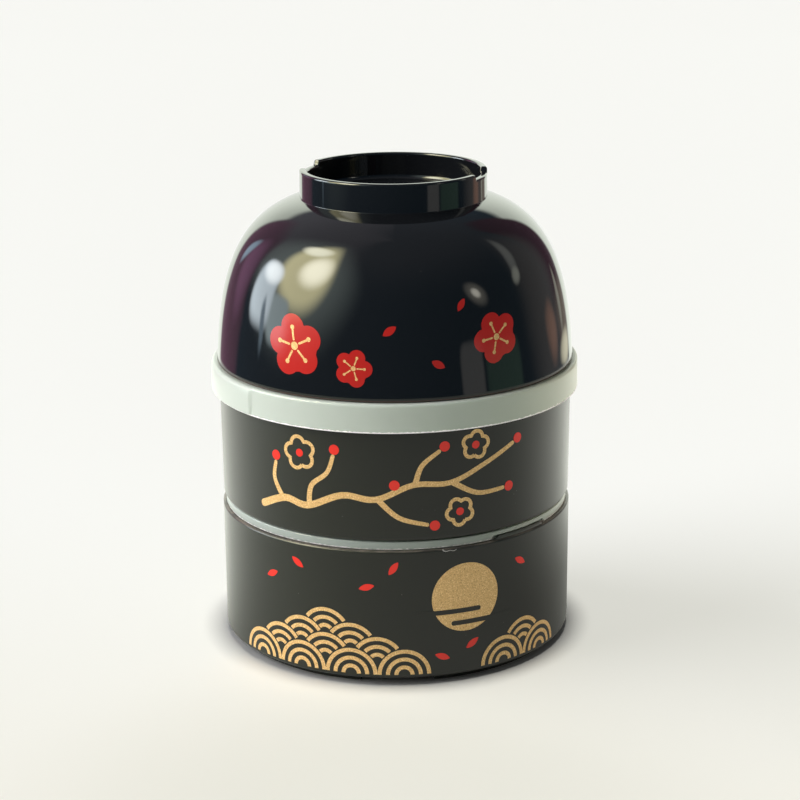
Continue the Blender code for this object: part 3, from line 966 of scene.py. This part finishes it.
# %% [markdown]
# On the bowl, open blossoms drift over the front with a few loose petals. A blossom is the outline
# of five discs in a ring, printed red, and its stamens are gold strokes and dots in a layer above.

# %% Blossoms on the bowl
# across and up from the front of the rim, then radius and turn, or length, width and turn
BOWL_BLOSSOMS = ((-30.5, 13.5, 9.2, 8), (-12.0, 8.6, 5.6, -20), (31.0, 15.5, 7.6, 25))
BOWL_PETALS = ((-1.5, 19.5, 4.6, 2.3, 35), (12.5, 9.5, 4.4, 2.2, -28), (19.5, 26.0, 4.0, 2.0, 60))


def stamens(radius):
    """Five fine lines with a dot at the end of each, and a small centre."""
    lines, dots = [], [disc(radius * 0.13, 20)]
    for s in range(5):
        turn = math.tau * s / 5
        out = (-math.sin(turn), math.cos(turn))
        lines.append(stroke(
            [(out[0] * radius * k, out[1] * radius * k) for k in (0.2, 0.3, 0.4, 0.5)],
            0.07 * radius))
        tip = (out[0] * radius * 0.58, out[1] * radius * 0.58)
        dots.append(moved(disc(radius * 0.075, 16), tip))
    return lines + dots


reds, golds = [], []
for across, rise, radius, turn in BOWL_BLOSSOMS:
    reds.append(moved(blossom(radius), (across, rise), turn))
    golds += [moved(shape, (across, rise), turn) for shape in stamens(radius)]
reds += [moved(petal(length, width), (across, rise), turn)
         for across, rise, length, width, turn in BOWL_PETALS]
printed("bowl_blossoms", reds, bowl_side, red_ink)
printed("bowl_stamens", golds, bowl_side, gold_ink, layer=1)

# %% [markdown]
# Round the upper tier runs one branch with five twigs. The branch narrows towards its tip, each
# twig ends in a red bud, and three open blossoms hang loose beside them. Twigs and buds lie in
# layers above the branch, so that no two films share a surface where they cross.

# %% A plum branch on the upper tier
BRANCH = (
    (-44, 52.0), (-35, 55.6), (-27, 54.6), (-16, 59.0), (-6, 58.2), (5, 62.6), (16, 62.6),
    (27, 67.0), (37, 71.5))
TWIGS = (
    ((-26.5, 55.2), (-25.6, 61.0), (-20.6, 65.4), (-18.6, 70.6)),
    ((-5.0, 57.8), (0.8, 52.6), (9.0, 50.2)),
    ((5.6, 63.0), (7.6, 68.4), (12.6, 72.4)),
    ((17.0, 62.4), (24.6, 58.4), (33.4, 58.4)),
    ((-36.0, 55.6), (-39.0, 61.0), (-38.4, 66.0)))
BUDS = (
    (-18.2, 72.7), (11.3, 49.8), (14.3, 73.8), (35.7, 58.5), (39.0, 72.7), (-38.2, 68.2),
    (-0.5, 62.6))
OPEN_BLOSSOMS = ((-29.5, 70.4, 5.0, 12), (24.0, 73.2, 4.2, -8), (19.0, 53.4, 4.2, 30))

branch = [stroke(smooth(BRANCH), 2.3, 1.3)]
twigs = [stroke(smooth(twig), 1.7, 1.2) for twig in TWIGS]
buds = [moved(disc(1.55, 28), bud) for bud in BUDS]
printed("branch", branch, upper_side, gold_ink)
printed("twigs", twigs, upper_side, gold_ink, layer=1)
printed("buds", buds, upper_side, red_ink, layer=2)
rings = []
for across, rise, radius, turn in OPEN_BLOSSOMS:
    line = moved(blossom(radius), (across, rise), turn)
    half = len(line) // 2
    rings.append(stroke(line[:half + 1], 1.1, round_ends=False))
    rings.append(stroke(line[half:] + line[:1], 1.1, round_ends=False))
hearts = [moved(disc(1.2, 24), place[:2]) for place in OPEN_BLOSSOMS]
printed("open_blossoms", rings, upper_side, gold_ink)
printed("blossom_hearts", hearts, upper_side, red_ink)

# %% [markdown]
# On the lower tier a full moon stands over the old wave pattern, which is rows of scales, each of
# three arcs. Each row lies half a scale to the side, and a nearer scale hides the arcs behind it.
# The hidden stretches could be cut away by booleans, but leaving out the points that lie inside a
# nearer scale is simpler. Two dark strips of mist are printed over the moon.

# %% A moon over waves on the lower tier
MOON = (21.0, 26.5, 10.7)
MIST = (((6.5, 22.4), (25.0, 22.4)), ((17.0, 18.6), (36.0, 18.6)))
WAVE = 8.0
WAVE_ROWS = (
    (3.4, (-46.0, -30.0, -14.0, 2.0)), (7.4, (-38.0, -22.0, -6.0)), (11.4, (-30.0, -14.0)),
    (15.4, (-22.0,)), (3.4, (34.0, 50.0)), (7.4, (42.0,)))
LOOSE_PETALS = (
    (-41.0, 30.5, 25), (-31.0, 36.2, -35), (-9.0, 31.0, 15), (-1.0, 37.0, 55), (13.5, 8.5, -20),
    (23.0, 11.5, 35), (40.5, 34.0, -30))

moon = [moved(disc(MOON[2], 72), MOON[:2])]
mist = [stroke([(a[0] + (b[0] - a[0]) * s / 12, a[1]) for s in range(13)], 1.5)
        for a, b in MIST]
printed("moon", moon, lower_side, gold_ink)
printed("mist", mist, lower_side, soft_black, layer=1)
waves = []
scales = [(u, z) for z, row in WAVE_ROWS for u in row]
for u, z in scales:
    nearer = [(a, b) for a, b in scales if b < z and math.dist((a, b), (u, z)) < 2 * WAVE]
    for radius in (WAVE - 0.6, WAVE - 3.1, WAVE - 5.6):
        line = []
        for step in range(61):
            turn = math.pi * step / 60
            point = (u + radius * math.cos(turn), z + radius * math.sin(turn))
            if all(math.dist(point, other) > WAVE + 0.35 for other in nearer):
                line.append(point)
        if len(line) > 3:
            waves.append(stroke(line, 1.2, round_ends=False))
petals = [moved(petal(4.8, 2.0), (u, v), turn) for u, v, turn in LOOSE_PETALS]
printed("waves", waves, lower_side, gold_ink)
printed("loose_petals", petals, lower_side, red_ink)

# %% [markdown]
# A knock has scraped the black off the lower tier's rim in a short crooked line. It could be cut
# into the rim, but it is no deeper than a scratch, so it is laid on as a thin pale stroke.

# %% A nick in the lower rim, where the black is scuffed pale
NICK = ((13.7, 42.35), (13.8, 41.85), (14.7, 41.55), (15.9, 41.75), (17.0, 41.5), (17.9, 41.85))
bare_plastic, f = new_finish("bare_plastic")
f.surface(
    Base_Color=f.mix(f.noise(0.5, 2.0), colour(0.18, 0.18, 0.17), colour(0.60, 0.60, 0.57)),
    Roughness=0.7)
scratch = [stroke(smooth(NICK), 0.28, 0.12)]
printed("rim_nick", scratch, lower_side, bare_plastic)

# %% [markdown]
# ## The floor
#
# The box stands on a pale sheet. Near the box it is painted darker and creamier towards the
# viewer, as painted shade, and close in front of the box a soft spot is painted duller, a painted
# shadow. A curved backdrop would do as well, but from this height the camera sees only the
# sheet, so a flat disc is enough. The stage is drawn in metres.

# %% Floor
SHEET_RADIUS = 4.0
BELOW = 0.00005
PAINTED_SHADOW_SPOT = (-0.005, -0.13)
floor_paint, f = new_finish("floor_paint")
across, ahead = f.along("X"), f.along("Y")
close = 1 - f.between(length_of(across, ahead), 0.3, 0.8)
# darker and creamier towards the viewer near the box: painted shade
painted_front_shade = (1 - f.between(ahead, -0.30, 0.15)) * close
tone = f.mix(painted_front_shade, colour(0.94, 0.94, 0.945), colour(0.88, 0.86, 0.80))
# a soft darker spot close in front of the box: a painted shadow
painted_shadow = 1 - f.between(length_of(across - PAINTED_SHADOW_SPOT[0], ahead - PAINTED_SHADOW_SPOT[1]), 0.03, 0.12)
f.surface(
    Base_Color=f.mix(painted_shadow, tone, colour(0.82, 0.81, 0.76)),
    Roughness=0.9,
    Specular_IOR_Level=0.1)
sheet = bmesh.new()
bmesh.ops.create_circle(sheet, cap_ends=True, segments=96, radius=SHEET_RADIUS)
bmesh.ops.translate(sheet, verts=sheet.verts, vec=(0.0, 0.0, -BELOW))
floor = thing_of(sheet, "floor", floor_paint)
floor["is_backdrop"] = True
print("the sheet is", 2 * SHEET_RADIUS, "m across")

# %% [markdown]
# ## The room in the mirror
#
# A glossy black bowl has hardly any colour of its own: what shows is the room that it mirrors.
# Here that room is a dome that only reflections can see. Its light is painted by direction, in
# soft patches: a window on the left, a warm lit blind above it, dark curtains, a white board
# behind the box, small things on the right, and the sheet that the box stands on. A photograph
# of a room could be wrapped round the scene instead, but patches can be placed one by one.

# %% Direction of a point of the dome, seen from the middle of the box
MIDDLE = 0.12

room_paint, f = new_finish("room_paint")
room_paint.cycles.emission_sampling = "NONE"
east, south, rise = f.along("X"), -1 * f.along("Y"), f.along("Z") - MIDDLE
DEGREES = math.degrees(1.0)
azimuth = east.maths("ARCTAN2", east, south) * DEGREES
reach = length_of(east, south)
elevation = rise.maths("ARCTAN2", rise, reach) * DEGREES


def patch(centre, half, softness, corners, slant):
    """1 in a patch of directions, 0 outside. Corners 2 gives an oval, 6 nearly a rectangle."""
    up = elevation - centre[1]
    across = (azimuth - centre[0] - up * slant) / half[0]
    away = abs(across) ** corners + abs(up / half[1]) ** corners
    return 1 - f.between(away, 1 - softness, 1 + softness)


print("nodes that work out a direction:", len(f.tree.nodes))

# %% Paint the room, patch over patch
# azimuth and elevation of the middle, half the width and height, softness, corners, slant, light
PATCHES = (
    # a grey glow on the left half of the ceiling, and a stronger one round the window
    ((-115.0, 52.0), (62.0, 36.0), 1.0, 2, 0.0, (0.42, 0.40, 0.44)),
    ((-74.0, 30.0), (38.0, 30.0), 1.0, 2, 0.0, (1.4, 1.65, 1.55)),
    # curtains, left and right, with slits of daylight in them
    ((-134.0, 2.0), (18.0, 36.0), 0.7, 4, 0.0, (0.39, 0.18, 0.28)),
    ((-126.0, 11.0), (8.0, 15.0), 1.0, 2, 0.0, (0.95, 0.42, 0.75)),
    ((138.0, 18.0), (13.0, 33.0), 0.5, 4, 0.0, (0.15, 0.075, 0.11)),
    ((139.0, -9.0), (12.0, 5.5), 0.9, 2, 0.0, (0.42, 0.34, 0.28)),
    ((136.2, -5.5), (2.4, 6.5), 0.8, 2, 0.3, (0.95, 0.93, 0.78)),
    ((-137.0, 12.5), (2.8, 8.0), 0.9, 2, 0.4, (1.3, 1.7, 2.1)),
    # the warm blind: its body, its pale upper end and its glowing middle
    ((-73.0, 36.0), (23.0, 26.0), 0.45, 2, -0.1, (8.8, 8.2, 4.8)),
    ((-85.0, 52.0), (11.0, 6.0), 0.9, 2, 1.2, (16.0, 15.6, 12.0)),
    ((-66.0, 38.0), (12.0, 12.0), 1.0, 2, 0.0, (20.0, 19.2, 14.8)),
    # the window, its bright top and a dark bar at its foot
    ((-82.0, 4.5), (8.5, 9.0), 0.8, 4, 0.0, (3.5, 4.2, 4.3)),
    ((-99.5, 12.5), (10.5, 14.5), 0.75, 4, 0.0, (6.8, 7.8, 8.4)),
    ((-98.0, 22.0), (9.0, 6.0), 1.0, 2, 0.0, (15.0, 16.0, 16.3)),
    ((-94.5, 0.5), (2.0, 8.0), 0.9, 2, -0.1, (1.4, 1.9, 2.3)),
    # on the right: a grey wall, a lamp, and a slanting beam with a bright foot
    ((113.0, 8.0), (18.0, 34.0), 1.0, 2, 0.0, (0.30, 0.29, 0.29)),
    ((58.5, 22.0), (6.0, 7.0), 1.0, 2, -0.4, (1.2, 1.15, 1.0)),
    ((58.5, 22.0), (2.6, 3.0), 1.0, 2, -0.4, (6.2, 6.0, 5.2)),
    ((104.0, 31.0), (4.6, 13.0), 1.0, 2, 0.55, (0.95, 0.98, 0.92)),
    ((97.0, 19.0), (4.0, 4.0), 1.0, 2, 0.5, (1.8, 1.85, 1.6)),
    # things that stand beyond the sheet on the right, and a bright stretch of the sheet
    ((48.5, -9.5), (7.5, 10.5), 0.8, 6, 0.0, (0.62, 0.62, 0.61)),
    ((71.0, -11.0), (13.0, 9.0), 0.8, 6, 0.0, (0.20, 0.36, 0.29)),
    ((119.0, -8.0), (6.0, 6.0), 1.0, 2, 0.0, (0.95, 0.58, 0.45)),
    ((136.0, -15.0), (8.0, 2.4), 1.0, 2, 0.0, (2.1, 2.0, 1.5)))
ceiling = f.between(elevation, 20.0, 70.0)
light = f.mix(ceiling, colour(0.05, 0.09, 0.13), colour(0.16, 0.18, 0.21))
for *where, glow in PATCHES:
    light = f.mix(patch(*where), light, colour(*glow))
print("patches of light in the room:", len(PATCHES))

# %% [markdown]
# Behind the box the bowl's edge mirrors a white board with slightly leaning sides. Low down it
# mirrors the sheet: pale behind, darker in front, and darkest in the box's own shadow on the
# right. Straight behind and low down both fade to a plainer white, because the bowl's edge
# mirrors it in full there.

# %% Paint the board and the sheet
dip = elevation.maths("MINIMUM", elevation, 0.0)
beside = f.between(abs(azimuth + 0.4) - dip * 0.3, 148.4, 152.4)
board = beside * (1 - f.between(elevation, 28.0, 34.0))
light = f.mix(board, light, colour(2.1, 2.25, 1.95))
behind = f.between(abs(azimuth), 60.0, 150.0)
ground = f.mix(behind, colour(0.58, 0.58, 0.52), colour(2.0, 2.05, 1.85))
shade = (1 - f.between(reach, 0.08, 0.18)) * f.between(azimuth, 25.0, 75.0)
ground = f.mix(shade * 0.85, ground, colour(0.25, 0.25, 0.23))
light = f.mix(1 - f.between(elevation, -19.0, -17.0), light, ground)
turned_away = 180 - abs(azimuth)
off_line = (turned_away * turned_away + (elevation + 18) ** 2) ** 0.5
light = f.mix(1 - f.between(off_line, 5.0, 46.0), light, colour(0.92, 0.93, 0.91))
f.surface(
    Base_Color=colour(0.0, 0.0, 0.0), Specular_IOR_Level=0.0, Emission_Color=light,
    Emission_Strength=1.0)

# %% Build the dome, and hide it from all but mirrors
ROOM = 1.6
FOOT_EDGE = 0.056

room = bmesh.new()
rib = [(FOOT_EDGE, 0.0005), (ROOM, 0.002)] + [
    (ROOM * math.cos(a), ROOM * math.sin(a)) for a in (math.radians(d) for d in range(5, 86, 5))]
points = [room.verts.new((r, 0.0, z)) for r, z in rib + [(0.0, ROOM)]]
lines = [room.edges.new(pair) for pair in zip(points, points[1:])]
spun(room, points + lines, 360.0, 96, closed=True)
bmesh.ops.remove_doubles(room, verts=room.verts, dist=MM)
dome = thing_of(room, "room", room_paint)
dome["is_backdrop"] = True
for ray in ("camera", "diffuse", "transmission", "volume_scatter", "shadow"):
    setattr(dome, f"visible_{ray}", False)
print("the dome has", len(dome.data.polygons), "faces")

# %% [markdown]
# ## The light
#
# What the dome shows, soft suns deliver. The box gets a wide one from the windows on the left, a
# warm one from behind on the right and a weak one from above, so its front right stays deep
# black. The sheet gets its own two, because in such a photograph the white ground is lit and
# brightened apart from the goods: a slanting one that makes the long pale shadow, and one
# overhead that fills it. Area lamps could do the same, but a sun has no place to choose, only
# a direction and a width.

# %% Soft suns, each for its own things
def sun(name, azimuth, elevation, angle, strength, tint, lit):
    """A soft sun in a direction in degrees, which lights only the listed things."""
    lamp = bpy.data.lights.new(name, "SUN")
    lamp.angle = math.radians(angle)
    lamp.energy = strength
    lamp.color = tint
    a, e = math.radians(azimuth), math.radians(elevation)
    way = Vector((math.sin(a) * math.cos(e), -math.cos(a) * math.cos(e), math.sin(e)))
    thing = bpy.data.objects.new(name, lamp)
    thing.rotation_euler = way.to_track_quat("Z", "Y").to_euler()
    thing.visible_glossy = False
    group = bpy.data.collections.new(name + "_reaches")
    for item in lit:
        group.objects.link(item)
    thing.light_linking.receiver_collection = group
    bpy.context.scene.collection.objects.link(thing)


meshes = [item for item in bpy.context.scene.objects if item.type == "MESH"]
box = [item for item in meshes if item not in (floor, dome)]
sun("window_light", -76.0, 31.0, 50.0, 4.8, (1.0, 0.935, 0.97), box)
sun("right_light", 120.0, 4.0, 30.0, 2.7, (1.0, 0.79, 0.58), box)
sun("top_light", 0.0, 90.0, 60.0, 0.35, (1.0, 1.0, 0.98), box)
sun("window_light_on_the_sheet", -88.0, 28.0, 60.0, 1.6, (0.96, 0.96, 1.0), [floor])
sun("top_light_on_the_sheet", 0.0, 90.0, 8.0, 2.15, (1.0, 1.0, 0.92), [floor])
print("things that the window lights:", len(box))

# %% [markdown]
# The world is the air round all this. The camera, and mirrors and clear things, see it nearly as
# bright as the sheet, so no horizon shows. Matt surfaces get only a weak light from it.

# %% World
AMBIENT = 0.08
BACKGROUND = colour(0.938, 0.938, 0.898)

world = bpy.data.worlds.new("studio")
bpy.context.scene.world = world
f = Finish(world)
seen = f.node("ShaderNodeLightPath", output="Is Camera Ray")
rays = seen.socket.node.outputs
seen = seen.larger(Value(f, rays["Is Glossy Ray"])).larger(Value(f, rays["Is Transmission Ray"]))
sky = f.mix(seen, colour(AMBIENT, AMBIENT, AMBIENT), BACKGROUND)
f.show(f.node("ShaderNodeBackground", inputs={"Color": sky, "Strength": 1.0}))

# %% [markdown]
# ## Closing
#
# Both sizes are printed: the CAD model's and the dressed model's. The dressed model
# must have the CAD model's size.

# %% Compare the sizes and finish
scene_box = [list(corner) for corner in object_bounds()]
for name, (low, high) in (("cad", cad_box), ("scene", scene_box)):
    print(name, [round((b - a) / MM, 2) for a, b in zip(low, high)], "mm")
